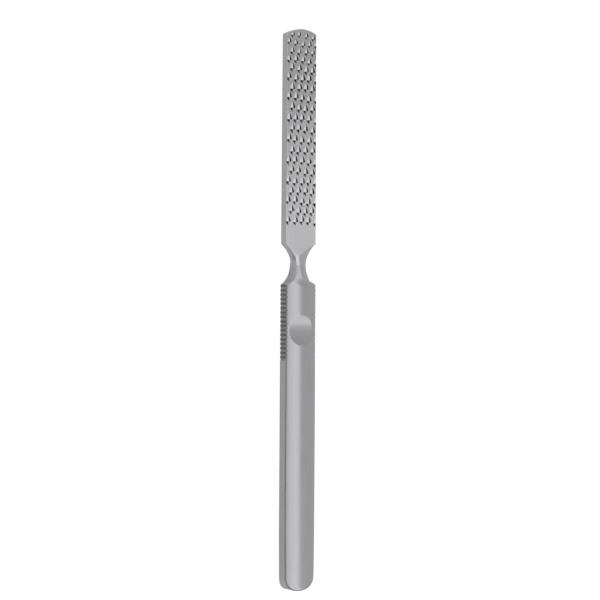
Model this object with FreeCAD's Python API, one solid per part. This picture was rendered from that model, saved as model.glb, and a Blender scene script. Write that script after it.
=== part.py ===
import FreeCAD, Part
import math
import os

# A foot file: forged rasp blade in a hollow two-shell handle. Millimetres.
# The length runs along Y with the tip at +Y, the width along X, and the coarse face looks up along +Z.
# Everything is modelled about the parting plane of the handle (Z = 0) and lifted when exported,
# so that the flat along the rear of the handle rests on Z = 0.

# Overall layout, measured from the tip
overall_length = 180.0
waist_from_tip = 75.8
thumb_rest_from_tip = 96.6

# Blade head
head_width = 10.8
head_tip_width = 10.5
head_thickness = 3.5
tip_radius = 9.2
edge_break = 0.15

# Neck: the blade and the handle meet at the waist
waist_width = 4.4
waist_thickness = 4.2
waist_wall = 2.0
ridge_width = 1.4
ridge_offset = -1.05
ridge_drop = 0.45
ridge_crown = 0.02
flank_bulge = 0.04
blade_flare_radius = 9.0
handle_flare_radius = 11.5
tang_diameter = 2.4
tang_length = 15.0
braze_gap = 0.15

# Coarse face: staggered rows of raised teeth, each with a punched pit on the handle side
tooth_rows = 20
teeth_in_long_row = 5
first_row_from_tip = 2.45
row_pitch = 2.86
row_growth = 0.0141
row_sway = 0.83
tooth_pitch = 2.4
tooth_shift = 0.45
tooth_length = 2.1
tooth_width = 1.7
tooth_fullness = 0.72
tooth_height = 0.42
pit_length = 0.9
pit_width = 1.6
pit_depth = 0.45
tip_tooth_size = 0.7
small_tooth_rows = 5
row_skew_tip = 6.5
row_skew_neck = 3.0
tooth_root = 0.05
tooth_scatter_x = 0.12
tooth_scatter_y = 0.22

# Fine face: single file cut
cut_pitch = 1.0
cut_angle = 25.0
cut_depth = 0.16
cut_width = 0.55
cut_margin = 3.5

# Hollow handle
handle_width = 10.7
crown_height = 4.05
side_wall = 4.3
rear_flat_width = 4.0
crease_radius = 0.8
shell_wall = 1.0
seam_width = 0.3
nose_length = 6.4
shoulder_length = 1.45
butt_radius = 5.2
butt_taper_length = 13.0
butt_width = 10.3

# Thumb rest and edge grip
thumb_rest_length = 9.9
thumb_rest_depth = 1.35
grip_count = 17
grip_pitch = 1.43
grip_depth = 0.35
grip_width = 0.95
grip_from_shoulder = 0.2

# Sections in each loft
neck_sections = 7
flare_sections = 7
shoulder_sections = 6

# Derived places
Y_TIP = overall_length / 2
Y_BUTT = -overall_length / 2
Y_WAIST = Y_TIP - waist_from_tip
Y_HANDLE = Y_WAIST - nose_length
HEAD_TOP = head_thickness / 2
HALF_TIP = head_tip_width / 2
FLARE = math.sqrt(blade_flare_radius**2 - (blade_flare_radius - (head_width - waist_width) / 2)**2)
Y_HEAD = Y_WAIST + FLARE
RIDGE_LEFT = ridge_offset - ridge_width / 2
RIDGE_RIGHT = ridge_offset + ridge_width / 2
HALF_HANDLE = handle_width / 2
DOME_RISE = crown_height - side_wall / 2
DOME_RADIUS = (HALF_HANDLE**2 + DOME_RISE**2) / (2 * DOME_RISE)
DOME_CENTRE = crown_height - DOME_RADIUS
REAR_FLAT = DOME_CENTRE + math.sqrt(DOME_RADIUS**2 - rear_flat_width**2 / 4)


def point(x, y, z):
    return FreeCAD.Vector(x, y, z)


def arc(start, middle, end):
    return Part.Arc(start, middle, end).toShape()


def bulged(start, end, ratio):
    """Arc in an XZ plane from start to end, bulging to the left of its travel by a ratio of the chord."""
    chord = end - start
    side = point(-chord.z, 0, chord.x)
    return arc(start, (start + end) * 0.5 + side * ratio, end)


def closed_face(edges):
    return Part.Face(Part.Wire(edges))


def polygon_prism(points, travel):
    return Part.Face(Part.makePolygon(points + points[:1])).extrude(travel)


def run_in(lateral, dy):
    """Sideways growth at dy from the waist of an arc that starts straight and gains lateral over FLARE."""
    radius = FLARE / math.sin(2 * math.atan2(lateral, FLARE))
    return radius - math.sqrt(radius**2 - dy**2)


def smooth(t):
    return t * t * (3 - 2 * t)


def blade_section(share):
    """Closed octagon of the neck; share is 0 at the waist and 1 where the full-width head begins."""
    dy = FLARE * share
    wall = waist_width / 2 + run_in((head_width - waist_width) / 2, dy)
    flat_edge = head_width / 2 - edge_break
    right = RIDGE_RIGHT + run_in(flat_edge - RIDGE_RIGHT, dy)
    left = RIDGE_LEFT - run_in(flat_edge + RIDGE_LEFT, dy)
    blend = smooth(share)
    top = waist_thickness / 2 + (HEAD_TOP - waist_thickness / 2) * blend
    left_top = top - ridge_drop * (1 - blend)
    wall_top = waist_wall / 2 + (HEAD_TOP - edge_break - waist_wall / 2) * blend
    y = Y_WAIST + dy
    right_side = [(right, top), (wall, wall_top), (wall, -wall_top), (right, -top)]
    left_side = [(left, -left_top), (-wall, -wall_top), (-wall, wall_top), (left, left_top)]
    corners = [point(x, y, z) for x, z in right_side + left_side]
    return Part.makePolygon(corners + corners[:1])


def tip_section():
    """Edge-broken section of the head in the plane that touches the tip."""
    flat_edge = HALF_TIP - edge_break
    wall_top = HEAD_TOP - edge_break
    right_side = [(flat_edge, HEAD_TOP), (HALF_TIP, wall_top), (HALF_TIP, -wall_top), (flat_edge, -HEAD_TOP)]
    left_side = [(-x, z) for x, z in reversed(right_side)]
    corners = [point(x, Y_TIP, z) for x, z in right_side + left_side]
    return Part.makePolygon(corners + corners[:1])


def head_bar():
    """Flat head: the edge-broken, slightly tapered bar cut to a round tip."""
    bar = Part.makeLoft([blade_section(1.0), tip_section()], True, True)
    half = head_width / 2
    corner = Y_TIP - tip_radius + math.sqrt(tip_radius**2 - half**2)
    plan = closed_face([
        Part.makeLine(point(-half, Y_HEAD, -HEAD_TOP), point(half, Y_HEAD, -HEAD_TOP)),
        Part.makeLine(point(half, Y_HEAD, -HEAD_TOP), point(half, corner, -HEAD_TOP)),
        arc(point(half, corner, -HEAD_TOP), point(0, Y_TIP, -HEAD_TOP), point(-half, corner, -HEAD_TOP)),
        Part.makeLine(point(-half, corner, -HEAD_TOP), point(-half, Y_HEAD, -HEAD_TOP)),
    ])
    return bar.common(plan.extrude(point(0, 0, head_thickness)))


def uneven(row, column, rate):
    """Repeatable value from -1 to 1 that stands for the unsteadiness of hand-cut teeth."""
    return math.sin(rate * (7.3 * row + 2.1 * column))


def tooth_places():
    """X, Y and size of each tooth: skewed, staggered rows that start close and small at the tip, with a
    hand-cut scatter. X and Y are at the middle of the cutting face."""
    places = []
    for row in range(tooth_rows):
        count = teeth_in_long_row - row % 2
        share = row / (tooth_rows - 1)
        slope = math.tan(math.radians(row_skew_tip + (row_skew_neck - row_skew_tip) * share))
        from_tip = first_row_from_tip + row * row_pitch + row**2 * row_growth
        from_tip -= row_sway * math.sin(2 * math.pi * share)
        size = 1 - (1 - tip_tooth_size) * max(1 - row / small_tooth_rows, 0)
        for column in range(count):
            x = (column - (count - 1) / 2) * tooth_pitch + tooth_shift
            y = Y_TIP - from_tip - x * slope
            x += tooth_scatter_x * uneven(row, column, 5.1)
            y += tooth_scatter_y * uneven(row, column, 3.7)
            places.append((x, y, size))
    return places


def spike(x, y, height, outline):
    """Pyramid whose slice at the coarse face is the outline about x, y; it carries on through the face."""
    sink = math.copysign(tooth_root, height)
    grow = (height + sink) / height
    base = [point(x + grow * px, y + grow * py, HEAD_TOP - sink) for px, py in outline]
    peak = point(x, y, HEAD_TOP + height)
    faces = [Part.Face(Part.makePolygon(base + base[:1]))]
    for first, second in zip(base, base[1:] + base[:1]):
        faces.append(Part.Face(Part.makePolygon([first, second, peak, first])))
    return Part.Solid(Part.Shell(faces))


def tip_edge(x):
    return Y_TIP - tip_radius + math.sqrt(tip_radius**2 - x**2)


def tooth_outline(half, length):
    """Half of a leaf: straight across the cutting face, drawn out to a point at the given length."""
    belly = half * tooth_fullness
    return [(half, 0), (belly, length / 2), (0, length), (-belly, length / 2), (-half, 0)]


def add_teeth(bar):
    """Each tooth is a pyramid with its tail to the tip, and its pit a pyramid sunk on the handle side. Teeth
    that reach over the side of the face are ground off level with its edge."""
    near, far = head_width / 2 - edge_break, HALF_TIP - edge_break
    face = [point(-near, Y_HEAD, 0), point(near, Y_HEAD, 0), point(far, Y_TIP, 0), point(-far, Y_TIP, 0)]
    face_prism = polygon_prism(face, point(0, 0, 2 * head_thickness))
    teeth = []
    pits = []
    for x, y, size in tooth_places():
        tail = min(size * tooth_length, tip_edge(x) - edge_break - y)
        tooth = spike(x, y, size * tooth_height, tooth_outline(size * tooth_width / 2, tail))
        teeth.append(tooth.common(face_prism))
        pits.append(spike(x, y, -size * pit_depth, tooth_outline(size * pit_width / 2, -size * pit_length)))
    return bar.cut(pits).fuse(teeth)


def file_cuts():
    """Slanting vee cuts across the rear face of the head."""
    slope = math.tan(math.radians(cut_angle))
    reach = head_width / 2 + 1
    first = Y_HEAD + cut_margin + reach * slope
    count = int((Y_TIP - cut_margin - reach * slope - first) / cut_pitch)
    cuts = []
    for index in range(count + 1):
        y = first + index * cut_pitch - reach * slope
        vee = [
            point(-reach, y - cut_width, -HEAD_TOP - cut_depth),
            point(-reach, y + cut_width, -HEAD_TOP - cut_depth),
            point(-reach, y, -HEAD_TOP + cut_depth),
        ]
        cuts.append(polygon_prism(vee, point(2 * reach, 2 * reach * slope, 0)))
    return cuts


def make_blade():
    shares = [i / (neck_sections - 1) for i in range(neck_sections)]
    neck = Part.makeLoft([blade_section(share) for share in shares], True, False)
    tang = Part.makeCylinder(tang_diameter / 2, tang_length, point(0, Y_WAIST, 0), point(0, -1, 0))
    head = add_teeth(head_bar()).cut(file_cuts())
    return head.fuse([neck, tang])


def corner_points():
    """Where the rounded crease of the handle leaves the side wall and where it meets the dome."""
    reach = DOME_RADIUS - crease_radius
    x = HALF_HANDLE - crease_radius
    z = math.sqrt(reach**2 - x**2)
    scale = DOME_RADIUS / reach
    return DOME_CENTRE + z, x * scale, DOME_CENTRE + z * scale


def nose_half_width(dy):
    """Half-width of the handle at dy behind the waist: concave flare, then a rounded shoulder."""
    kink = nose_length - shoulder_length
    flare = handle_flare_radius - math.sqrt(handle_flare_radius**2 - min(dy, kink)**2)
    half = waist_width / 2 + flare
    if dy <= kink:
        return half
    turn = (dy - kink) / shoulder_length
    return half + (HALF_HANDLE - half) * math.sin(turn * math.pi / 2)


def nose_section(dy):
    """Upper half of the handle's section in the nose: side walls, rounded flanks and a growing dome."""
    share = dy / nose_length
    wall_end, dome_x, dome_z = corner_points()
    blend = smooth(share)
    spread = share**5
    wall = nose_half_width(dy)
    wall_top = waist_wall / 2 + (wall_end - waist_wall / 2) * blend
    crown = waist_thickness / 2 + (crown_height - waist_thickness / 2) * blend
    rise = ridge_crown + (crown_height - dome_z - ridge_crown) * spread
    lean = ridge_drop * (1 - spread)
    left = RIDGE_LEFT + (-dome_x - RIDGE_LEFT) * spread
    right = RIDGE_RIGHT + (dome_x - RIDGE_RIGHT) * spread
    angle = math.atan2(dome_z - DOME_CENTRE, dome_x)
    bulge = flank_bulge + (math.tan(angle / 4) / 2 - flank_bulge) * spread
    y = Y_WAIST - dy
    right_wall = point(wall, y, wall_top)
    right_edge = point(right, y, crown - rise)
    left_edge = point(left, y, crown - rise - lean)
    left_wall = point(-wall, y, wall_top)
    return Part.Wire([
        Part.makeLine(point(-wall, y, 0), point(wall, y, 0)),
        Part.makeLine(point(wall, y, 0), right_wall),
        bulged(right_wall, right_edge, -bulge),
        arc(right_edge, point((left + right) / 2, y, crown - lean / 2), left_edge),
        bulged(left_edge, left_wall, -bulge),
        Part.makeLine(left_wall, point(-wall, y, 0)),
    ])


def handle_plan(inset):
    """Plan outline of the straight part of the handle, with its round butt, on the parting plane."""
    half = HALF_HANDLE - inset
    radius = butt_radius - inset
    centre = Y_BUTT + butt_radius
    end_half = butt_width / 2 - inset
    y_end = centre - math.sqrt(max(radius**2 - end_half**2, 0))
    y_taper = y_end + butt_taper_length
    front = Y_HANDLE - inset
    side = [point(half, front, 0), point(half, y_taper, 0), point(end_half, y_end, 0)]
    other = [point(-p.x, p.y, 0) for p in reversed(side)]
    return closed_face([
        Part.makeLine(side[0], side[1]),
        Part.makeLine(side[1], side[2]),
        arc(side[2], point(0, centre - radius, 0), other[0]),
        Part.makeLine(other[0], other[1]),
        Part.makeLine(other[1], other[2]),
        Part.makeLine(other[2], side[0]),
    ])


def domed_half(inset):
    """Upper half of the straight handle: plan outline cut by a cylinder that makes the dome."""
    prism = handle_plan(inset).extrude(point(0, 0, crown_height))
    axis_start = point(0, Y_BUTT, DOME_CENTRE)
    dome = Part.makeCylinder(DOME_RADIUS - inset, overall_length, axis_start, point(0, 1, 0))
    return prism.common(dome)


def crease_edges(half):
    """Edges between the dome and the upright walls, leaving out the flat front end."""
    found = []
    for edge in half.Edges:
        middle = edge.valueAt((edge.FirstParameter + edge.LastParameter) / 2)
        radius = math.hypot(middle.x, middle.z - DOME_CENTRE)
        if abs(radius - DOME_RADIUS) < 1e-4 and middle.z > 0.1 and middle.y < Y_HANDLE - 1e-4:
            found.append(edge)
    return found


def thumb_cutter(grow):
    """Cylinder across the handle that dishes the thumb rest."""
    half = thumb_rest_length / 2
    radius = (half**2 + thumb_rest_depth**2) / (2 * thumb_rest_depth)
    y = Y_TIP - thumb_rest_from_tip
    z = crown_height - thumb_rest_depth + radius
    return Part.makeCylinder(radius + grow, 2 * handle_width, point(-handle_width, y, z), point(1, 0, 0))


def grip_cuts():
    """Upright vee grooves along both side walls."""
    cuts = []
    for side in (-1, 1):
        for index in range(grip_count):
            y = Y_HANDLE - grip_from_shoulder - index * grip_pitch
            vee = [
                point(side * (HALF_HANDLE - grip_depth), y, -crown_height),
                point(side * (HALF_HANDLE + grip_depth), y - grip_width, -crown_height),
                point(side * (HALF_HANDLE + grip_depth), y + grip_width, -crown_height),
            ]
            cuts.append(polygon_prism(vee, point(0, 0, 2 * crown_height)))
    return cuts


def both_halves(half):
    return half.fuse(half.mirror(point(0, 0, 0), point(0, 0, 1)))


def make_handle():
    """Welded handle in one piece, before it is split into its shells and seam."""
    kink = nose_length - shoulder_length
    flare_places = [kink * i / (flare_sections - 1) for i in range(flare_sections)]
    flare = Part.makeLoft([nose_section(dy) for dy in flare_places], True, False)
    shoulder_places = [kink + shoulder_length * i / (shoulder_sections - 1) for i in range(shoulder_sections)]
    shoulder = Part.makeLoft([nose_section(dy) for dy in shoulder_places], True, False)
    straight = domed_half(0)
    straight = straight.makeFillet(crease_radius, crease_edges(straight))
    outside = both_halves(straight.fuse([shoulder, flare])).common(slab(-REAR_FLAT, crown_height))
    hollow = both_halves(domed_half(shell_wall)).cut(thumb_cutter(shell_wall))
    bore = Part.makeCylinder(
        tang_diameter / 2 + braze_gap, nose_length + 2 * shell_wall, point(0, Y_WAIST, 0), point(0, -1, 0))
    return outside.cut([thumb_cutter(0), hollow, bore] + grip_cuts())


def slab(bottom, top):
    reach = overall_length
    return Part.makeBox(reach, reach, top - bottom, point(-reach / 2, -reach / 2, bottom))


def make_braze():
    """Filler sleeve between the tang and the bore of the nose."""
    length = nose_length + shell_wall
    outside = Part.makeCylinder(tang_diameter / 2 + braze_gap, length, point(0, Y_WAIST, 0), point(0, -1, 0))
    inside = Part.makeCylinder(tang_diameter / 2, length, point(0, Y_WAIST, 0), point(0, -1, 0))
    return outside.cut(inside)


def export(name, shape):
    shape = shape.removeSplitter()
    shape.translate(point(0, 0, REAR_FLAT))
    shape.exportStep("parts/" + name + ".step")


os.makedirs("parts", exist_ok=True)
handle = make_handle()
export("rasp_blade", make_blade())
export("handle_front_shell", handle.common(slab(seam_width / 2, crown_height)))
export("handle_rear_shell", handle.common(slab(-REAR_FLAT, -seam_width / 2)))
export("handle_seam_weld", handle.common(slab(-seam_width / 2, seam_width / 2)))
export("tang_braze", make_braze())
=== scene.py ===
import math

import bmesh
import bpy
import numpy as np
from mathutils import Matrix, Vector


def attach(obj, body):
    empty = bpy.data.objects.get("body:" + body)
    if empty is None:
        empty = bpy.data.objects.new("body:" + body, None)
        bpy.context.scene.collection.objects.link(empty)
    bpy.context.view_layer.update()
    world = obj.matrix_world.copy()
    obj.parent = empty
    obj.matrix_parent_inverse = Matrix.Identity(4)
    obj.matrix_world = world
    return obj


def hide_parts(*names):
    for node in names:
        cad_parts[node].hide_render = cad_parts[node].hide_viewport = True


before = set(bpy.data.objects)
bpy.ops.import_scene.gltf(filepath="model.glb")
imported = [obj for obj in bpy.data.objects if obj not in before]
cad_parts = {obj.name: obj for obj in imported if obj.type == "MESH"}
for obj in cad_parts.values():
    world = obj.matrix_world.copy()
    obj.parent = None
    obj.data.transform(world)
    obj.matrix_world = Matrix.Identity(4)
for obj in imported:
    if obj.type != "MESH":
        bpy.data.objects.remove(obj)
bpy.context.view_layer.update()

# A foot file: a punched rasp blade in a hollow steel handle. Shapes are worked out in millimetres about the
# parting plane of the handle, with the tip at +Y and the coarse face up. They are lifted onto the floor and
# turned to metres when the meshes are made. Angles are in degrees.
MM = 0.001

# Layout along the length
OVERALL_LENGTH = 180.0
WAIST_FROM_TIP = 75.8
THUMB_REST_FROM_TIP = 96.6
Y_TIP = OVERALL_LENGTH / 2
Y_BUTT = -OVERALL_LENGTH / 2
Y_WAIST = Y_TIP - WAIST_FROM_TIP

# Blade
HEAD_HALF = 5.4
HEAD_TIP_HALF = 5.25
HEAD_TOP = 1.75
TIP_RADIUS = 9.2
TIP_BEND = 5.0
EDGE_BREAK = 0.15
EDGE_ROUND = 0.12
EDGE_ROUND_SHARE = 0.4
WAIST_HALF = 2.2
WAIST_WALL_TOP = 1.0
RIDGE_LEFT = -1.85
RIDGE_RIGHT = -0.8
RIDGE_RUN_OUT = 4.2
RIDGE_RUN_OUT_POWER = 1.25
RIDGE_DROP = 0.6
RIDGE_CROWN = 0.02
REAR_RIDGE_LIMIT = 1.0
BLADE_FLARE_RADIUS = 9.0
TANG_RADIUS = 1.2
TANG_LENGTH = 15.0
FLARE = math.sqrt(BLADE_FLARE_RADIUS**2 - (BLADE_FLARE_RADIUS - HEAD_HALF + WAIST_HALF)**2)
Y_HEAD = Y_WAIST + FLARE

# Coarse face
TOOTH_ROWS = 20
TEETH_IN_LONG_ROW = 5
FIRST_ROW_FROM_TIP = 2.45
ROW_PITCH = 2.86
ROW_GROWTH = 0.0141
ROW_SWAY = 0.83
ROW_SKEW_TIP = 6.5
ROW_SKEW_NECK = 3.0
TOOTH_PITCH = 2.4
TOOTH_SHIFT = 0.45
TOOTH_LENGTH = 2.1
TOOTH_HALF = 0.85
TOOTH_FULLNESS = 0.72
TOOTH_HEIGHT = 0.42
PIT_LENGTH = 1.15
PIT_HALF = 1.0
PIT_DEPTH = 0.45
TIP_TOOTH_SIZE = 0.7
SMALL_TOOTH_ROWS = 5

# Hand-cut scatter of the teeth, and the turns in radians that spread it over rows and columns
TOOTH_SCATTER_X = 0.12
TOOTH_SCATTER_Y = 0.22
SCATTER_RATE_X = 5.1
SCATTER_RATE_Y = 3.7
SCATTER_PER_ROW = 7.3
SCATTER_PER_COLUMN = 2.1

# Fine face
CUT_PITCH = 1.0
CUT_ANGLE = 25.0
CUT_DEPTH = 0.16
CUT_HALF = 0.275
CUT_MARGIN = 3.5
CUT_OVERRUN = 1.0

# Handle
HALF_HANDLE = 5.35
CROWN = 4.05
SIDE_WALL = 4.3
REAR_FLAT_WIDTH = 4.0
CREASE_RADIUS = 0.8
LEAST_CREASE_RADIUS = 0.05
SHELL_WALL = 1.0
HALF_SEAM = 0.15
BORE_RADIUS = 1.35
Y_DISH = Y_TIP - THUMB_REST_FROM_TIP
DOME_RISE = CROWN - SIDE_WALL / 2
DOME_RADIUS = (HALF_HANDLE**2 + DOME_RISE**2) / (2 * DOME_RISE)
DOME_CENTRE = CROWN - DOME_RADIUS
REAR_FLAT = DOME_CENTRE + math.sqrt(DOME_RADIUS**2 - REAR_FLAT_WIDTH**2 / 4)

# Nose, with the powers that say how late each part of the ridge widens into the dome
HANDLE_FLARE_RADIUS = 11.5
NOSE_LENGTH = 6.4
SHOULDER_LENGTH = 1.45
FLANK_BULGE = 0.04
LEFT_EDGE_POWER = 3
RIGHT_EDGE_POWER = 5
TOP_ARC_POWER = 8
Y_HANDLE = Y_WAIST - NOSE_LENGTH

# Butt
BUTT_ROUND = 4.48
BUTT_SQUARENESS = 2.3
BUTT_SLANT = 0.12
BUTT_DRAWN_IN = 0.08
BUTT_TAPER = 13.0
BUTT_HALF = 5.15

# Thumb rest
DISH_LENGTH = 9.5
DISH_DEPTH = 1.1
DISH_TILT = 0.05
DISH_RIM = 0.1
DISH_MARGIN = 2.0

# Side notches
GRIP_COUNT = 17
GRIP_PITCH = 1.43
GRIP_DEPTH = 0.5
GRIP_HALF = 0.475
GRIP_FROM_SHOULDER = 0.84

# Painted shade, as a darkening of the colour where 1 is full, and the lengths over which it fades
SHADE_ON_TOOTH_TAIL = 0.9
SHADE_IN_PIT = 0.95
SHADE_ON_FACE = 0.3
SHADE_ON_FLANKS = 0.22
SHADE_ON_LANDS = 0.75
SHADE_ON_CREASE = 0.52
FACE_FADE = 45.0
LAST_NOTCH_FADE = 0.3
SHOULDER_FADE = 0.5
WALL_FADE = 0.2
WALL_BAND = 0.22

# How finely the surfaces are divided: numbers of steps or rings, and steps in millimetres
FACE_STEPS = 76
SIDE_STEPS = 4
TURN_STEPS = 3
NECK_RINGS = 45
TIP_EDGE_RINGS = 4
WALL_STEPS = 8
CREASE_STEPS = 10
DOME_STEPS = 78
INNER_STEPS = 6
NOSE_RINGS = 26
SHOULDER_RINGS = 24
BUTT_RINGS = 28
CREASE_LINE_STEP = 2
CREASE_LINE_HALF = 3
HEAD_STEP = 0.16
GRIP_STEP = 0.1
PLAIN_STEP = 0.8

# Limits of the meshes
MERGE_DISTANCE = 0.0002
LEVEL_TOLERANCE = 0.01
BLADE_SHARP_ANGLE = 25.0
HANDLE_SHARP_ANGLE = 28.0


def smooth(t):
    """Share that starts and ends level: three times the square less twice the cube."""
    return t * t * (3 - 2 * t)


def grid_quads(rows, columns, first=0):
    """Quads of a rows by columns grid of points numbered row by row from first."""
    corner = first + np.arange(rows - 1)[:, None] * columns + np.arange(columns - 1)[None, :]
    return np.stack([corner, corner + 1, corner + columns + 1, corner + columns], -1).reshape(-1, 4)


def strip_quads(one, other):
    """Quads between two equally long rows of point numbers."""
    return np.stack([one[:-1], one[1:], other[1:], other[:-1]], -1)


def add_object(name, data):
    """Object with the given data, linked into the scene."""
    thing = bpy.data.objects.new(name, data)
    bpy.context.scene.collection.objects.link(thing)
    return thing


def make_piece(name, points, faces, painted_shade, material, node, sharp_angle):
    """Closed mesh from points in millimetres and lists of their numbers: doubles are merged, faces turned
    outwards, edges sharper than sharp_angle kept sharp, and the piece takes the place of a CAD node."""
    mesh = bpy.data.meshes.new(name)
    lifted = np.array(points, float)
    lifted[:, 2] += REAR_FLAT
    mesh.from_pydata((lifted * MM).tolist(), [], [face.tolist() for face in faces])
    # The residue attribute holds painted shade: how far each point's colour is darkened towards the shade
    # tone
    layer = mesh.attributes.new("painted_shade", "FLOAT", "POINT")
    layer.data.foreach_set("value", np.asarray(painted_shade, np.float32))
    work = bmesh.new()
    work.from_mesh(mesh)
    bmesh.ops.remove_doubles(work, verts=work.verts, dist=MERGE_DISTANCE * MM)
    bmesh.ops.recalc_face_normals(work, faces=work.faces)
    work.to_mesh(mesh)
    work.free()
    mesh.polygons.foreach_set("use_smooth", np.ones(len(mesh.polygons), bool))
    mesh.set_sharp_from_angle(angle=math.radians(sharp_angle))
    mesh.materials.append(material)
    piece = add_object(name, mesh)
    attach(piece, "root")
    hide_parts(node)


# Blade


def run_in(lateral, dy):
    """Sideways growth at dy from the waist of an arc that starts straight and gains lateral by the head."""
    radius = FLARE / math.sin(2 * math.atan2(lateral, FLARE))
    return radius - np.sqrt(radius**2 - dy**2)


def ridge_height(y):
    """Height of the neck's ridge: it leaves the head level with the face, rises smoothly through the waist
    and meets the handle level with the crown."""
    share = np.clip((Y_HEAD - y) / (Y_HEAD - Y_HANDLE), 0, 1)
    return HEAD_TOP + (CROWN - HEAD_TOP) * smooth(share)


def blade_corners(dy):
    """Corners of the octagonal section at dy in front of the waist, clockwise seen from the butt and starting
    with the left end of the coarse face: rows x 8 x 2 (x, z). The walls follow the flare's arc, and the flat
    of the head narrows to the ridge as a vee."""
    taper = (HEAD_HALF - HEAD_TIP_HALF) * np.clip((dy - FLARE) / (Y_TIP - Y_HEAD), 0, 1)
    dy = np.clip(dy, 0, FLARE)
    blend = smooth(dy / FLARE)
    flat_edge = HEAD_HALF - EDGE_BREAK
    wall = WAIST_HALF + run_in(HEAD_HALF - WAIST_HALF, dy) - taper
    opening = np.clip(1 - (FLARE - dy) / RIDGE_RUN_OUT, 0, 1)**RIDGE_RUN_OUT_POWER
    right = RIDGE_RIGHT + (flat_edge - RIDGE_RIGHT) * opening - taper
    left = RIDGE_LEFT - (flat_edge + RIDGE_LEFT) * opening + taper
    top = ridge_height(Y_WAIST + dy)
    left_top = top - RIDGE_DROP * (1 - blend)
    wall_top = WAIST_WALL_TOP + (HEAD_TOP - EDGE_BREAK - WAIST_WALL_TOP) * blend
    x = np.stack([left, right, wall, wall, right, left, -wall, -wall], -1)
    z = np.stack([left_top, top, wall_top, -wall_top, -top, -left_top, -wall_top, wall_top], -1)
    return np.stack([x, z], -1)


def rounded_ring(corners, radius, steps):
    """Ring of points round each octagon: every corner is a short quadratic curve that starts and ends up to
    radius away from it, and each side is divided evenly into the number of steps given for it."""
    before = np.roll(corners, 1, axis=1) - corners
    after = np.roll(corners, -1, axis=1) - corners
    before_length = np.linalg.norm(before, axis=-1, keepdims=True)
    after_length = np.linalg.norm(after, axis=-1, keepdims=True)
    reach = np.minimum(radius, EDGE_ROUND_SHARE * np.minimum(before_length, after_length))
    start = corners + before / before_length * reach
    end = corners + after / after_length * reach
    turn = np.linspace(0, 1, TURN_STEPS + 1)[None, :, None]
    parts = []
    for index, count in enumerate(steps):
        corner = corners[:, index, None]
        curve_start = start[:, index, None]
        curve_end = end[:, index, None]
        next_start = start[:, (index + 1) % len(steps), None]
        parts.append((1 - turn)**2 * curve_start + 2 * turn * (1 - turn) * corner + turn**2 * curve_end)
        along = np.linspace(0, 1, count + 1)[None, 1:-1, None]
        parts.append(curve_end + (next_start - curve_end) * along)
    return np.concatenate(parts, axis=1)


def uneven(row, column, rate):
    """Repeatable value from -1 to 1, a sine of row and column, for the unsteadiness of hand-cut teeth."""
    return np.sin(rate * (SCATTER_PER_ROW * row + SCATTER_PER_COLUMN * column))


def tooth_places():
    """X, Y and size of each tooth: skewed rows of four and five teeth in turn, whose pitch grows from the tip
    and sways a little, with small teeth in the first rows and a hand-cut scatter. X and Y are at the middle
    of the cutting face."""
    row, column = np.meshgrid(np.arange(TOOTH_ROWS), np.arange(TEETH_IN_LONG_ROW), indexing="ij")
    count = TEETH_IN_LONG_ROW - (row + 1) % 2
    kept = column < count
    row, column, count = row[kept], column[kept], count[kept]
    share = row / (TOOTH_ROWS - 1)
    slope = np.tan(np.radians(ROW_SKEW_TIP + (ROW_SKEW_NECK - ROW_SKEW_TIP) * share))
    from_tip = FIRST_ROW_FROM_TIP + row * ROW_PITCH + row**2 * ROW_GROWTH
    from_tip = from_tip - ROW_SWAY * np.sin(2 * math.pi * share)
    size = 1 - (1 - TIP_TOOTH_SIZE) * np.maximum(1 - row / SMALL_TOOTH_ROWS, 0)
    x = (column - (count - 1) / 2) * TOOTH_PITCH + TOOTH_SHIFT
    y = Y_TIP - from_tip - x * slope
    x = x + TOOTH_SCATTER_X * uneven(row, column, SCATTER_RATE_X)
    y = y + TOOTH_SCATTER_Y * uneven(row, column, SCATTER_RATE_Y)
    return x, y, size


def tip_edge(x):
    """Y of the tip's arc at x."""
    return Y_TIP - TIP_RADIUS + np.sqrt(TIP_RADIUS**2 - x**2)


def leaf_distance(across, along, half, length):
    """Share of the way from the middle of a half leaf's straight side to its outline, which is half wide at
    the side, a little narrower half-way and drawn out to a point at length: the larger of the shares that
    its near and far edges give."""
    belly = half * TOOTH_FULLNESS
    near = across / half + along * (half - belly) / (half * length / 2)
    far = across / (2 * belly) + along / length
    return np.maximum(near, far)


def tooth_relief(x, y):
    """Height of the coarse face over its plane, and how much painted shade the teeth get. Each tooth is a
    pyramid, upright at its cutting face with its tail to the tip, and its pit a sunken pyramid on the handle
    side. Painted shade lies on the right flank of the tooth, which faces away from the light, a little less
    on its tail, and on the left wall of the pit."""
    relief = np.zeros_like(x)
    painted_shade = np.zeros_like(x)
    for tooth_x, tooth_y, size in zip(*tooth_places()):
        across = x - tooth_x
        along = y - tooth_y
        tail = min(size * TOOTH_LENGTH, tip_edge(tooth_x) - EDGE_BREAK - tooth_y)
        tooth = leaf_distance(np.abs(across), along, size * TOOTH_HALF, tail)
        pit = leaf_distance(np.abs(across), -along, size * PIT_HALF, size * PIT_LENGTH)
        rise = size * TOOTH_HEIGHT * (1 - tooth)
        fall = size * PIT_DEPTH * (1 - pit)
        raised = (along >= 0) & (rise > 0)
        sunk = (along < 0) & (fall > 0)
        relief = np.where(raised, np.maximum(rise, relief), relief)
        relief = np.where(sunk, np.minimum(relief, -fall), relief)
        # Painted shade on the tooth's right flank and on the left wall of its pit
        on_flank = 1 - (1 - SHADE_ON_TOOTH_TAIL) * along / tail
        painted_shade = np.where(raised & (across > 0), on_flank, painted_shade)
        painted_shade = np.where(sunk & (across < 0), SHADE_IN_PIT, painted_shade)
    return relief, painted_shade


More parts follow.
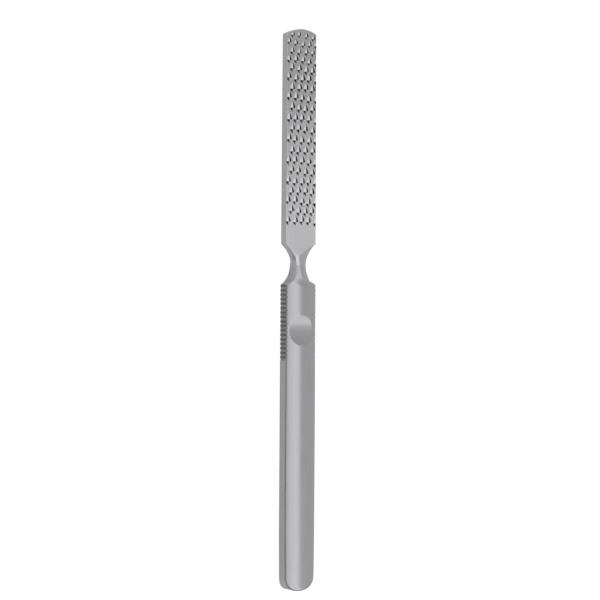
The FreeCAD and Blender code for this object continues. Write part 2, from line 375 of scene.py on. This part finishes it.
def cut_relief(x, y):
    """Depth of the fine face's slanting vee cuts, which start and end a margin short of the head's ends."""
    slope = math.tan(math.radians(CUT_ANGLE))
    reach = HEAD_HALF + CUT_OVERRUN
    first = Y_HEAD + CUT_MARGIN + reach * slope
    count = int((Y_TIP - CUT_MARGIN - reach * slope - first) / CUT_PITCH)
    place = (y - first - x * slope) / CUT_PITCH
    nearest = np.clip(np.round(place), 0, count)
    off = np.abs(place - nearest) * CUT_PITCH
    return CUT_DEPTH * np.clip(1 - off / CUT_HALF, 0, None)


def blade_rings():
    """Distance from the waist, and inset, of each ring from the waist to the tip: fine steps over the head,
    and a quarter circle of the edge break at the end."""
    length = Y_TIP - Y_WAIST
    neck = np.linspace(0, FLARE, NECK_RINGS)[:-1]
    head = np.linspace(FLARE, length - EDGE_BREAK, int((Y_TIP - Y_HEAD) / HEAD_STEP))
    turn = np.linspace(0, math.pi / 2, TIP_EDGE_RINGS)[1:]
    dy = np.concatenate([neck, head, length - EDGE_BREAK * (1 - np.sin(turn))])
    inset = np.concatenate([np.zeros(len(neck) + len(head)), EDGE_BREAK * (1 - np.cos(turn))])
    return dy, inset[:, None]


def tang_rings(section):
    """Circles at the tang's end and the waist, with a point in the direction of each point of a section."""
    angle = np.arctan2(section[:, 1], section[:, 0])
    circle = np.stack([TANG_RADIUS * np.cos(angle), np.zeros_like(angle), TANG_RADIUS * np.sin(angle)], -1)
    rings = np.repeat(circle[None], 2, axis=0)
    rings[..., 1] = [[Y_WAIST - TANG_LENGTH], [Y_WAIST]]
    return rings


def end_faces(ring):
    """Faces that close an end of the blade: strips between the points above the middles of the side walls
    and those straight below them, with a triangle at each of the two middles."""
    left_middle = -(SIDE_STEPS + TURN_STEPS + SIDE_STEPS // 2)
    right_middle = FACE_STEPS + 3 * TURN_STEPS + SIDE_STEPS + SIDE_STEPS // 2
    upper = np.arange(left_middle, right_middle + 1)
    above = ring[upper % len(ring)]
    below = ring[(2 * right_middle - upper) % len(ring)]
    left_triangle = np.array([above[0], above[1], below[1]])
    right_triangle = np.array([above[-2], above[-1], below[-2]])
    return [left_triangle, right_triangle] + list(strip_quads(above[1:-1], below[1:-1]))


def blade_painted_shade(y, toothed, relief, shade_by_teeth):
    """How much painted shade lies on the blade: the teeth's own, a darkening of the lands and pits between
    them that deepens towards the tip, and an even painted shade on the flanks and side walls, from the middle
    of each rounded corner."""
    last_row = np.min(tooth_places()[1])
    # Painted shade on the lands and pits between the teeth, deepening towards the tip
    shade_to_tip = SHADE_ON_FACE * np.clip((y - last_row) / FACE_FADE, 0, 1)
    on_face = np.where(toothed, np.maximum(shade_by_teeth, shade_to_tip * (relief <= 0)), 0.0)
    half_ring = y.shape[1] // 2
    column = np.arange(y.shape[1]) % half_ring
    half_turn = (TURN_STEPS + 1) // 2
    # Even painted shade on the flanks and side walls of the blade
    flank = (column < half_turn) | (column >= FACE_STEPS + TURN_STEPS + half_turn)
    return np.where(flank, SHADE_ON_FLANKS, on_face)


def build_blade(material):
    """Rings of the octagonal section from the tang's end to the tip. Near the tip they are bent to its arc,
    and the two faces of the head are raised and sunk by their teeth and cuts. The neck's rear ridge reaches
    below the fine face by no more than its limit."""
    dy, inset = blade_rings()
    ring = rounded_ring(blade_corners(dy), EDGE_ROUND, ([FACE_STEPS] + 3 * [SIDE_STEPS]) * 2)
    x = ring[..., 0] * (1 - inset / HEAD_HALF)
    z = ring[..., 1] * (1 - inset / HEAD_TOP)
    y = np.repeat((Y_WAIST + dy)[:, None], x.shape[1], axis=1)
    bend = smooth(np.clip((y - Y_TIP + TIP_BEND) / TIP_BEND, 0, 1))
    y = y + (tip_edge(np.clip(x, -HEAD_HALF, HEAD_HALF)) - Y_TIP) * bend
    toothed = (z > HEAD_TOP - LEVEL_TOLERANCE) & (inset == 0) & (y > Y_HEAD)
    relief, shade_by_teeth = tooth_relief(x, y)
    z = z + np.where(toothed, relief, 0.0)
    lowest = np.where(y > Y_HEAD, cut_relief(x, y), -REAR_RIDGE_LIMIT) - HEAD_TOP
    z = np.maximum(z, lowest)
    tang = tang_rings(ring[0])
    grid = np.concatenate([tang, np.stack([x, y, z], -1)])
    rows, columns = grid.shape[:2]
    numbers = np.arange(rows * columns).reshape(rows, columns)
    faces = list(grid_quads(rows, columns))
    faces += list(strip_quads(numbers[:, -1], numbers[:, 0]))
    faces += end_faces(numbers[0]) + end_faces(numbers[-1])
    # Painted shade of the blade, kept with the points
    painted_shade = blade_painted_shade(y, toothed, relief, shade_by_teeth)
    painted_shade = np.concatenate([np.zeros(tang.shape[:2]), painted_shade]).ravel()
    make_piece("rasp_blade_dressed", grid.reshape(-1, 3), faces, painted_shade, material, "rasp_blade",
               BLADE_SHARP_ANGLE)


# Handle


def nose_half_width(dy):
    """Half-width of the handle at dy behind the waist: an arc of the flare's radius, then a quarter sine to
    the full width over the shoulder."""
    kink = NOSE_LENGTH - SHOULDER_LENGTH
    flare = HANDLE_FLARE_RADIUS - np.sqrt(HANDLE_FLARE_RADIUS**2 - np.minimum(dy, kink)**2)
    half = WAIST_HALF + flare
    turn = np.clip((dy - kink) / SHOULDER_LENGTH, 0, 1)
    return half + (HALF_HANDLE - half) * np.sin(turn * math.pi / 2)


def bow(start, end, ratio, steps):
    """Points of circular arcs between pairs of (x, z) points. Each bulges to the right of its chord by a
    ratio of the chord's length, or to the left where the ratio is below zero."""
    half_turn = 2 * np.arctan(2 * ratio)[:, None, None]
    t = np.linspace(-1, 1, steps + 1)[None, :, None] * half_turn
    chord = (end - start)[:, None]
    side = np.stack([chord[..., 1], -chord[..., 0]], -1)
    middle = ((start + end) / 2)[:, None]
    width = 2 * np.sin(half_turn)
    return middle + chord * np.sin(t) / width + side * (np.cos(t) - np.cos(half_turn)) / width


def corner_points():
    """Height where the handle's rounded crease leaves the side wall, and x and z where it meets the dome."""
    reach = DOME_RADIUS - CREASE_RADIUS
    x = HALF_HANDLE - CREASE_RADIUS
    z = math.sqrt(reach**2 - x**2)
    scale = DOME_RADIUS / reach
    return DOME_CENTRE + z, x * scale, DOME_CENTRE + z * scale


def nose_rows(dy, wall_steps, crease_steps, dome_steps):
    """Half sections of the nose from the left parting edge over the top to the right one: upright wall, bowed
    flank, top arc, flank and wall. The top grows from the narrow ridge at the waist to the full dome."""
    share = dy / NOSE_LENGTH
    blend = smooth(share)
    spread = share**RIGHT_EDGE_POWER
    late = share**TOP_ARC_POWER
    wall_end, dome_x, dome_z = corner_points()
    wall = nose_half_width(dy)
    wall_top = WAIST_WALL_TOP + (wall_end - WAIST_WALL_TOP) * blend
    crown = ridge_height(Y_WAIST - dy)
    rise = RIDGE_CROWN + (CROWN - dome_z - RIDGE_CROWN) * late
    lean = RIDGE_DROP * (1 - late)
    left = RIDGE_LEFT + (-dome_x - RIDGE_LEFT) * share**LEFT_EDGE_POWER
    right = RIDGE_RIGHT + (dome_x - RIDGE_RIGHT) * spread
    angle = math.atan2(dome_z - DOME_CENTRE, dome_x)
    bulge = FLANK_BULGE + (math.tan(angle / 4) / 2 - FLANK_BULGE) * spread
    up = np.linspace(0, 1, wall_steps + 1)[None, :]
    wall_z = HALF_SEAM + (wall_top[:, None] - HALF_SEAM) * up
    wall_x = np.repeat(wall[:, None], wall_steps + 1, 1)
    left_wall = np.stack([-wall_x, wall_z], -1)
    right_wall = np.stack([wall_x, wall_z], -1)[:, ::-1]
    left_edge = np.stack([left, crown - rise - lean], -1)
    right_edge = np.stack([right, crown - rise], -1)
    left_flank = bow(left_wall[:, -1], left_edge, -bulge, crease_steps)
    top = bow(left_edge, right_edge, -rise / np.hypot(right - left, lean), dome_steps)
    right_flank = bow(right_edge, right_wall[:, 0], -bulge, crease_steps)
    stretches = [left_wall[:, :-1], left_flank[:, :-1], top[:, :-1], right_flank[:, :-1], right_wall]
    section = np.concatenate(stretches, axis=1)
    y = np.repeat((Y_WAIST - dy)[:, None], section.shape[1], 1)
    return np.stack([section[..., 0], y, section[..., 1]], -1)


def handle_outline():
    """Right half of the handle's plan from the shoulder to the butt: points and outward normals. The side is
    straight, tapers a little and ends in a butt with rounded corners, a superellipse."""
    y_end = Y_BUTT + BUTT_ROUND
    y_taper = y_end + BUTT_TAPER
    grip_end = Y_HANDLE - GRIP_FROM_SHOULDER - GRIP_COUNT * GRIP_PITCH
    fine = np.arange(Y_HANDLE - GRIP_STEP, grip_end, -GRIP_STEP)
    plain = np.linspace(grip_end, y_taper, int((grip_end - y_taper) / PLAIN_STEP))
    taper = np.linspace(y_taper, y_end, int(BUTT_TAPER / PLAIN_STEP))[1:-1]
    straight_y = np.concatenate([fine, plain])
    taper_x = BUTT_HALF + (HALF_HANDLE - BUTT_HALF) * (taper - y_end) / BUTT_TAPER
    lean = math.atan2(HALF_HANDLE - BUTT_HALF, BUTT_TAPER)
    turn = np.linspace(0, math.pi / 2, BUTT_RINGS)
    power = 2 / BUTT_SQUARENESS
    end_x = BUTT_HALF * np.cos(turn)**power
    end_y = y_end - BUTT_ROUND * np.sin(turn)**power
    end_turn = np.arctan2(np.sin(turn)**(2 - power) / BUTT_ROUND, np.cos(turn)**(2 - power) / BUTT_HALF)
    x = np.concatenate([np.full(len(straight_y), HALF_HANDLE), taper_x, end_x])
    y = np.concatenate([straight_y, taper, end_y])
    normal_turn = np.concatenate([np.zeros(len(straight_y)), np.full(len(taper), lean), end_turn])
    return x, y, np.cos(normal_turn), -np.sin(normal_turn)


def straight_rows(inset, wall_steps, crease_steps, dome_steps):
    """Half sections of the straight handle, left parting edge to right: the upright wall follows the plan,
    the crease is a ball of the crease radius rolled between wall and dome, and the dome is a cylinder."""
    x, y, nx, ny = handle_outline()
    radius = DOME_RADIUS - inset
    crease = max(CREASE_RADIUS - inset, LEAST_CREASE_RADIUS)
    x = np.maximum(x - inset * nx, 0)
    y = y - inset * ny
    centre_x = np.maximum(x - crease * nx, 0)
    centre_y = y - crease * ny
    centre_z = DOME_CENTRE + np.sqrt((radius - crease)**2 - centre_x**2)
    up = np.linspace(0, 1, wall_steps + 1)[None, :]
    ones = np.ones_like(up)
    wall_z = HALF_SEAM + (centre_z[:, None] - HALF_SEAM) * up
    wall = np.stack([x[:, None] * ones, y[:, None] * ones, wall_z], -1)
    start = np.stack([nx, ny, np.zeros_like(nx)], -1)[:, None]
    finish = np.stack([centre_x, np.zeros_like(nx), centre_z - DOME_CENTRE], -1)[:, None]
    finish = finish / (radius - crease)
    opening = np.arccos(np.clip((start * finish).sum(-1, keepdims=True), -1, 1))
    t = np.linspace(0, 1, crease_steps + 1)[None, :, None]
    lean = (np.sin((1 - t) * opening) * start + np.sin(t * opening) * finish) / np.sin(opening)
    centre = np.stack([centre_x, centre_y, centre_z], -1)[:, None]
    rounding = centre + crease * lean
    dome_x = rounding[:, -1:, 0] * np.linspace(1, -1, dome_steps + 1)[None, :]
    dome_y = centre_y[:, None] * np.ones_like(dome_x)
    dome = np.stack([dome_x, dome_y, DOME_CENTRE + np.sqrt(radius**2 - dome_x**2)], -1)
    mirror = np.array([-1, 1, 1])
    right_half = [wall[:, :-1], rounding[:, :-1]]
    left_half = [(rounding * mirror)[:, :0:-1], (wall * mirror)[:, ::-1]]
    return np.concatenate(right_half + [dome[:, :-1]] + left_half, axis=1)[:, ::-1]


def ground_askew(points):
    """Butt ground a little askew: the end is sheared so that it reaches furthest left of the middle, and
    drawn in by as much as that would lengthen it."""
    reach = 2 * BUTT_ROUND
    share = smooth(np.clip((Y_BUTT + reach - points[..., 1]) / reach, 0, 1))
    points[..., 1] += (BUTT_SLANT * points[..., 0] + BUTT_DRAWN_IN) * share
    return points


def soft_lower(height, cutter, blend):
    """Lower of two heights, with the corner between them eased over the blend length."""
    mix = np.clip(0.5 + 0.5 * (cutter - height) / blend, 0, 1)
    return cutter * (1 - mix) + height * mix - blend * mix * (1 - mix)


def dished(points, grow):
    """Thumb rest: heights are held under a cylinder that lies across the handle, a little lower on the left,
    and is widened by grow. Beyond a margin it is out of reach."""
    half = DISH_LENGTH / 2
    radius = (half**2 + DISH_DEPTH**2) / (2 * DISH_DEPTH)
    off = points[..., 1] - Y_DISH
    reach = radius + grow
    floor = CROWN - DISH_DEPTH + radius - np.sqrt(np.maximum(reach**2 - off**2, 0))
    out_of_reach = 2 * CROWN
    floor = np.where(np.abs(off) < half + DISH_MARGIN, floor + DISH_TILT * points[..., 0], out_of_reach)
    points[..., 2] = soft_lower(points[..., 2], floor, DISH_RIM)
    return points


def notch_depth(y):
    """Share of the full notch depth at y: a row of upright vees along the side walls."""
    place = (Y_HANDLE - GRIP_FROM_SHOULDER - y) / GRIP_PITCH
    off = np.abs(place - np.clip(np.round(place), 0, GRIP_COUNT - 1)) * GRIP_PITCH
    return np.clip(1 - off / GRIP_HALF, 0, None)


def gripped(points):
    """Side notches: half-widths are held inside the row of vees."""
    limit = HALF_HANDLE - GRIP_DEPTH * notch_depth(points[..., 1])
    points[..., 0] = np.clip(points[..., 0], -limit, limit)
    return points


def grip_painted_shade(points):
    """How much painted shade lies on the notched part of the side walls: most on the lands between the
    notches, fading to none at the bottoms of the notches, past the last notch and off the wall."""
    y = points[..., 1]
    last = Y_HANDLE - GRIP_FROM_SHOULDER - (GRIP_COUNT - 1) * GRIP_PITCH
    before_last = np.clip((y - last) / LAST_NOTCH_FADE, 0, 1)
    behind_shoulder = np.clip((Y_HANDLE + SHOULDER_LENGTH - y) / SHOULDER_FADE, 0, 1)
    on_wall = np.clip((np.abs(points[..., 0]) - HALF_HANDLE + WALL_BAND) / WALL_FADE, 0, 1)
    return before_last * behind_shoulder * on_wall * SHADE_ON_LANDS * (1 - notch_depth(y))


def crease_painted_shade(points):
    """How much painted shade lies on the crease above the side walls: a dark line a few steps of the surface
    wide, from the shoulder to the butt."""
    column = np.arange(points.shape[1])
    from_rim = np.minimum(column, column[::-1])
    line = np.clip(1 - np.abs(from_rim - WALL_STEPS - CREASE_LINE_STEP) / CREASE_LINE_HALF, 0, 1)
    return SHADE_ON_CREASE * line * np.clip((Y_HANDLE - points[..., 1]) / SHOULDER_FADE, 0, 1)


def outer_rows(wall_steps, crease_steps, dome_steps):
    """Outside of half the handle from the waist to the butt."""
    kink = NOSE_LENGTH - SHOULDER_LENGTH
    nose = np.linspace(0, kink, NOSE_RINGS)[:-1]
    shoulder = np.linspace(kink, NOSE_LENGTH, SHOULDER_RINGS)
    front = nose_rows(np.concatenate([nose, shoulder]), wall_steps, crease_steps, dome_steps)
    return np.concatenate([front, straight_rows(0, wall_steps, crease_steps, dome_steps)])


def inner_rows(outer):
    """Inside of half the handle, one row for each outer row: the bore for the tang as far as the nose
    reaches, then the hollow one wall inside the outer surface. Walls and creases have the inner steps, and
    the dome has twice as many."""
    turn = np.linspace(math.pi, 0, 6 * INNER_STEPS + 1)
    start = math.asin(HALF_SEAM / BORE_RADIUS)
    turn = np.clip(turn, start, math.pi - start)
    bore = np.stack([BORE_RADIUS * np.cos(turn), np.zeros_like(turn), BORE_RADIUS * np.sin(turn)], -1)
    bore = np.repeat(bore[None], len(outer), axis=0)
    bore[..., 1] = outer[:, :1, 1]
    hollow = straight_rows(SHELL_WALL, INNER_STEPS, INNER_STEPS, 2 * INNER_STEPS)
    inside = bore.copy()
    inside[-len(hollow):] = hollow
    solid = inside[..., 1] > Y_HANDLE - SHELL_WALL
    return np.where(solid[..., None], bore, inside)


def build_shell(name, material, node, front):
    """Half of the handle as a closed wall: outside, inside, two parting rims and the ring at the waist."""
    outer = gripped(outer_rows(WALL_STEPS, CREASE_STEPS, DOME_STEPS if front else DOME_STEPS // 2))
    inner = inner_rows(outer)
    # Painted shade on the grip's lands and along the crease
    painted_shade = np.maximum(grip_painted_shade(outer), crease_painted_shade(outer)).ravel()
    painted_shade = np.concatenate([painted_shade, np.zeros(inner[..., 0].size)])
    if front:
        outer = dished(outer, 0)
        inner = dished(inner, SHELL_WALL)
    else:
        outer[..., 2] = np.minimum(outer[..., 2], REAR_FLAT)
        outer[..., 2] *= -1
        inner[..., 2] *= -1
    outer = ground_askew(outer)
    inner = ground_askew(inner)
    rows, columns = outer.shape[:2]
    inner_columns = inner.shape[1]
    count = rows * columns
    outer_numbers = np.arange(count).reshape(rows, columns)
    inner_numbers = count + np.arange(rows * inner_columns).reshape(rows, inner_columns)
    faces = list(grid_quads(rows, columns)) + list(grid_quads(rows, inner_columns, count))
    faces += list(strip_quads(outer_numbers[:, 0], inner_numbers[:, 0]))
    faces += list(strip_quads(outer_numbers[:, -1], inner_numbers[:, -1]))
    faces.append(np.concatenate([outer_numbers[0], inner_numbers[0][::-1]]))
    points = np.concatenate([outer.reshape(-1, 3), inner.reshape(-1, 3)])
    make_piece(name, points, faces, painted_shade, material, node, HANDLE_SHARP_ANGLE)


def build_seam(material):
    """Fused strip between the shells: the plan outline between the two parting planes, one wall deep. Each
    side is a row of four-cornered rings from the waist to the butt."""
    outer = gripped(outer_rows(1, 1, 1))
    inner = ground_askew(inner_rows(outer))
    outer = ground_askew(outer)
    mirror = np.array([1, 1, -1])
    sides = []
    for column in (0, -1):
        outside = outer[:, column]
        inside = inner[:, column]
        sides.append(np.stack([outside, outside * mirror, inside * mirror, inside], 1))
    points = np.concatenate(sides).reshape(-1, 3)
    faces = []
    for numbers in np.arange(len(points)).reshape(2, len(outer), 4):
        for corner in range(4):
            faces += list(strip_quads(numbers[:, corner], numbers[:, (corner + 1) % 4]))
        faces.append(numbers[0])
    # The seam's lands between the notches take painted shade like the shells'
    make_piece("handle_seam_dressed", points, faces, grip_painted_shade(points), material,
               "handle_seam_weld", HANDLE_SHARP_ANGLE)


# Materials

# A belt's grain is finer in life, well under 0.1 mm, and is drawn coarser so that it shows
GRAIN_STRETCH = 60
GRAIN_DETAIL = 3.0
GRAIN_ROUGHNESS = 0.6
GRAIN_DARK = 0.94
GRAIN_LIGHT = 1.04
GRAIN_DEPTH = 0.02
GRAIN_STRENGTH = 0.12
PATCH_SIZE = 9
PATCH_DETAIL = 2.0
PATCH_GLOSS = 0.03
NOISE_LOW = 0.3
NOISE_HIGH = 0.7

# Sockets of a Mix node for colours
MIX_SHARE = 0
MIX_FIRST = 6
MIX_SECOND = 7
MIX_RESULT = 2


def linear(hex_colour):
    """Linear RGBA of an sRGB hex colour."""
    channels = [int(hex_colour[i:i + 2], 16) / 255 for i in (1, 3, 5)]
    return [c / 12.92 if c <= 0.04045 else ((c + 0.055) / 1.055)**2.4 for c in channels] + [1.0]


def bare_tree(owner):
    """Empty node tree of a material or a world."""
    owner.use_nodes = True
    owner.node_tree.nodes.clear()
    return owner.node_tree


def add_node(tree, kind, settings=(), links=()):
    """Node of a kind with its settings: plain names are properties, and numbers and names in brackets are
    inputs. Links are pairs of an input and the output that feeds it."""
    node = tree.nodes.new(kind)
    for key, value in dict(settings).items():
        if isinstance(key, tuple):
            node.inputs[key[0]].default_value = value
        else:
            setattr(node, key, value)
    for key, output in links:
        tree.links.new(output, node.inputs[key])
    return node


def satin_metal(name, colour, roughness, grain_width, shade_tone):
    """Satin metal: a soft mirror with fine grain along the length, as a belt leaves it on steel, a slight
    patchiness of the polish, and painted shade, a darker tone where the piece's own attribute says so."""
    material = bpy.data.materials.new(name)
    tree = bare_tree(material)
    place = add_node(tree, "ShaderNodeTexCoord")
    across = 1 / (grain_width * MM)
    lengthwise = 1 / (grain_width * GRAIN_STRETCH * MM)
    grain_map = add_node(tree, "ShaderNodeMapping", {("Scale",): (across, lengthwise, across)},
                         [("Vector", place.outputs["Object"])])
    grain = add_node(tree, "ShaderNodeTexNoise", {
        ("Scale",): 1.0, ("Detail",): GRAIN_DETAIL, ("Roughness",): GRAIN_ROUGHNESS},
        [("Vector", grain_map.outputs[0])])
    patch = add_node(tree, "ShaderNodeTexNoise", {
        ("Scale",): 1 / (PATCH_SIZE * MM), ("Detail",): PATCH_DETAIL},
        [("Vector", place.outputs["Object"])])
    tone = add_node(tree, "ShaderNodeMapRange", {
        ("From Min",): NOISE_LOW, ("From Max",): NOISE_HIGH,
        ("To Min",): GRAIN_DARK, ("To Max",): GRAIN_LIGHT},
        [("Value", grain.outputs[0])])
    clean = add_node(tree, "ShaderNodeMix", {
        "data_type": "RGBA", "blend_type": "MULTIPLY", (MIX_SHARE,): 1.0, (MIX_FIRST,): linear(colour)},
        [(MIX_SECOND, tone.outputs[0])])
    # Painted shade: the attribute darkens the colour towards the shade tone
    painted_shade = add_node(tree, "ShaderNodeAttribute", {"attribute_name": "painted_shade"})
    base = add_node(tree, "ShaderNodeMix", {"data_type": "RGBA", (MIX_SECOND,): linear(shade_tone)},
                    [(MIX_SHARE, painted_shade.outputs["Fac"]), (MIX_FIRST, clean.outputs[MIX_RESULT])])
    gloss = add_node(tree, "ShaderNodeMapRange", {
        ("From Min",): NOISE_LOW, ("From Max",): NOISE_HIGH,
        ("To Min",): roughness - PATCH_GLOSS, ("To Max",): roughness + PATCH_GLOSS},
        [("Value", patch.outputs[0])])
    bump = add_node(tree, "ShaderNodeBump", {("Strength",): GRAIN_STRENGTH, ("Distance",): GRAIN_DEPTH * MM},
                    [("Height", grain.outputs[0])])
    shader = add_node(tree, "ShaderNodeBsdfPrincipled", {("Metallic",): 1.0}, [
        ("Base Color", base.outputs[MIX_RESULT]), ("Roughness", gloss.outputs[0]),
        ("Normal", bump.outputs[0])])
    add_node(tree, "ShaderNodeOutputMaterial", (), [("Surface", shader.outputs[0])])
    return material


# Ground stainless of the blade: pale, with broad dull highlights and nearly black painted shade beside the
# teeth
blade_steel = satin_metal("satin_stainless_blade", colour="#EDEDEF", roughness=0.45, grain_width=0.25,
                          shade_tone="#0C0C0C")

# Polished stainless of the pressed shells: greyer, with tighter highlights and dark grey painted shade on the
# grip
shell_steel = satin_metal("satin_stainless_shell", colour="#CBCBCD", roughness=0.33, grain_width=0.25,
                          shade_tone="#2A2A2B")

# Fused seam, ground flush: the shells' steel, a shade darker and duller with a finer grain
weld_steel = satin_metal("ground_stainless_weld", colour="#C4C4C6", roughness=0.36, grain_width=0.2,
                         shade_tone="#2A2A2B")

# Silver braze as it flowed: a warm pale metal with a coarser skin, hidden inside the nose
braze_alloy = satin_metal("flowed_silver_braze", colour="#C9B98C", roughness=0.4, grain_width=0.4,
                          shade_tone="#6A6A6B")

# The pieces, and the braze that stays as it was built
build_blade(blade_steel)
build_shell("handle_front_dressed", shell_steel, "handle_front_shell", True)
build_shell("handle_rear_dressed", shell_steel, "handle_rear_shell", False)
build_seam(weld_steel)
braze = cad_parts["tang_braze"]
braze.data.materials.clear()
braze.data.materials.append(braze_alloy)

# Camera: it looks square onto the middle of the length, turned so that the left side wall shows
CAMERA_TURN = 26.0
CAMERA_ROLL = 0.35
CAMERA_DISTANCE = 880.0
CAMERA_CLIP = 10.0
SENSOR_WIDTH = 36.0
FOCAL_PIXELS = 2741.0
IMAGE_PIXELS = 600
AIM_ALONG = 3.15
AIM_ACROSS = 0.63
ALONG = Vector((0, 1, 0))


def leaning_axes(turn):
    """Unit vectors away from the floor, turned from upright to the left, and square to that to the right."""
    angle = math.radians(turn)
    away = Vector((-math.sin(angle), 0, math.cos(angle)))
    across = Vector((math.cos(angle), 0, math.sin(angle)))
    return away, across


def looking_back(turn, roll, place):
    """Matrix of a camera or lamp at a place in millimetres that looks back along the line turned from upright
    to the left, and is rolled about that line."""
    away, across = leaning_axes(turn)
    angle = math.radians(roll)
    right = across * math.cos(angle) + ALONG * math.sin(angle)
    up = ALONG * math.cos(angle) - across * math.sin(angle)
    axes = Matrix((right, up, away)).transposed()
    return Matrix.Translation(place * MM) @ axes.to_4x4()


def build_camera():
    """Long-lens camera over the aim point, framed for the photograph's square."""
    away, across = leaning_axes(CAMERA_TURN)
    aim = Vector((0, AIM_ALONG, REAR_FLAT)) + across * AIM_ACROSS
    lens = bpy.data.cameras.new("camera")
    lens.sensor_width = SENSOR_WIDTH
    lens.lens = SENSOR_WIDTH * FOCAL_PIXELS / IMAGE_PIXELS
    lens.clip_start = CAMERA_CLIP * MM
    camera = add_object("camera", lens)
    camera.matrix_world = looking_back(CAMERA_TURN, CAMERA_ROLL, aim + away * CAMERA_DISTANCE)
    bpy.context.scene.camera = camera


build_camera()

# Floor and light
FLOOR_HALF = 3000.0
FLOOR_TONE = "#E6E6E6"
FLOOR_GLOW_SEEN = 0.75
FLOOR_GLOW_REFLECTED = 0.08
ROOM_LEFT = 0.1
ROOM_RIGHT = 0.52
WHITE = (1, 1, 1, 1)


def matt_paper():
    """Matt white paper: it is lit and shaded by the lamps, and glows to the camera and a little in
    reflections, so that it comes out white."""
    material = bpy.data.materials.new("matt_white_paper")
    tree = bare_tree(material)
    path = add_node(tree, "ShaderNodeLightPath")
    reflected = add_node(tree, "ShaderNodeMath", {"operation": "MAXIMUM"}, [
        (0, path.outputs["Is Glossy Ray"]), (1, path.outputs["Is Transmission Ray"])])
    faint = add_node(tree, "ShaderNodeMath", {"operation": "MULTIPLY", (1,): FLOOR_GLOW_REFLECTED},
                     [(0, reflected.outputs[0])])
    level = add_node(tree, "ShaderNodeMath", {"operation": "MULTIPLY_ADD", (1,): FLOOR_GLOW_SEEN},
                     [(0, path.outputs["Is Camera Ray"]), (2, faint.outputs[0])])
    paper = add_node(tree, "ShaderNodeBsdfDiffuse", {("Color",): linear(FLOOR_TONE)})
    glow = add_node(tree, "ShaderNodeEmission", {("Color",): WHITE}, [("Strength", level.outputs[0])])
    both = add_node(tree, "ShaderNodeAddShader", (), [(0, paper.outputs[0]), (1, glow.outputs[0])])
    add_node(tree, "ShaderNodeOutputMaterial", (), [("Surface", both.outputs[0])])
    return material


def build_floor():
    """Flat pale floor under the rear of the handle."""
    half = FLOOR_HALF * MM
    mesh = bpy.data.meshes.new("floor")
    corners = [(-half, -half, 0), (half, -half, 0), (half, half, 0), (-half, half, 0)]
    mesh.from_pydata(corners, [], [(0, 1, 2, 3)])
    mesh.materials.append(matt_paper())
    floor = add_object("floor", mesh)


def add_softbox(name, turn, along, distance, width, length, spin, power):
    """Rectangular area lamp, turned from upright to the left and facing the line of the handle. Sizes are in
    millimetres and power in watts."""
    lamp = bpy.data.lights.new(name, "AREA")
    lamp.shape = "RECTANGLE"
    lamp.size = width * MM
    lamp.size_y = length * MM
    lamp.energy = power
    away, _ = leaning_axes(turn)
    holder = add_object(name, lamp)
    holder.matrix_world = looking_back(turn, spin, away * distance + ALONG * along)


def build_world():
    """Grey room that is darker on the left than on the right; the camera sees it white."""
    world = bpy.data.worlds.new("studio")
    bpy.context.scene.world = world
    tree = bare_tree(world)
    path = add_node(tree, "ShaderNodeLightPath")
    place = add_node(tree, "ShaderNodeTexCoord")
    parts = add_node(tree, "ShaderNodeSeparateXYZ", (), [(0, place.outputs["Generated"])])
    room = add_node(tree, "ShaderNodeMapRange", {
        "interpolation_type": "SMOOTHSTEP", ("From Min",): -1.0, ("From Max",): 1.0,
        ("To Min",): ROOM_LEFT, ("To Max",): ROOM_RIGHT}, [("Value", parts.outputs[0])])
    level = add_node(tree, "ShaderNodeMath", {"operation": "MAXIMUM"}, [
        (0, room.outputs[0]), (1, path.outputs["Is Camera Ray"])])
    backdrop = add_node(tree, "ShaderNodeBackground", {("Color",): WHITE}, [("Strength", level.outputs[0])])
    add_node(tree, "ShaderNodeOutputWorld", (), [("Surface", backdrop.outputs[0])])


build_floor()
add_softbox("key_softbox", turn=20.0, along=-100.0, distance=900.0, width=1060.0, length=2850.0, spin=14.0,
            power=6.5)
add_softbox("fill_softbox", turn=-25.0, along=-620.0, distance=900.0, width=560.0, length=700.0, spin=0.0,
            power=0.5)
build_world()

bpy.context.scene.view_settings.view_transform = "Standard"
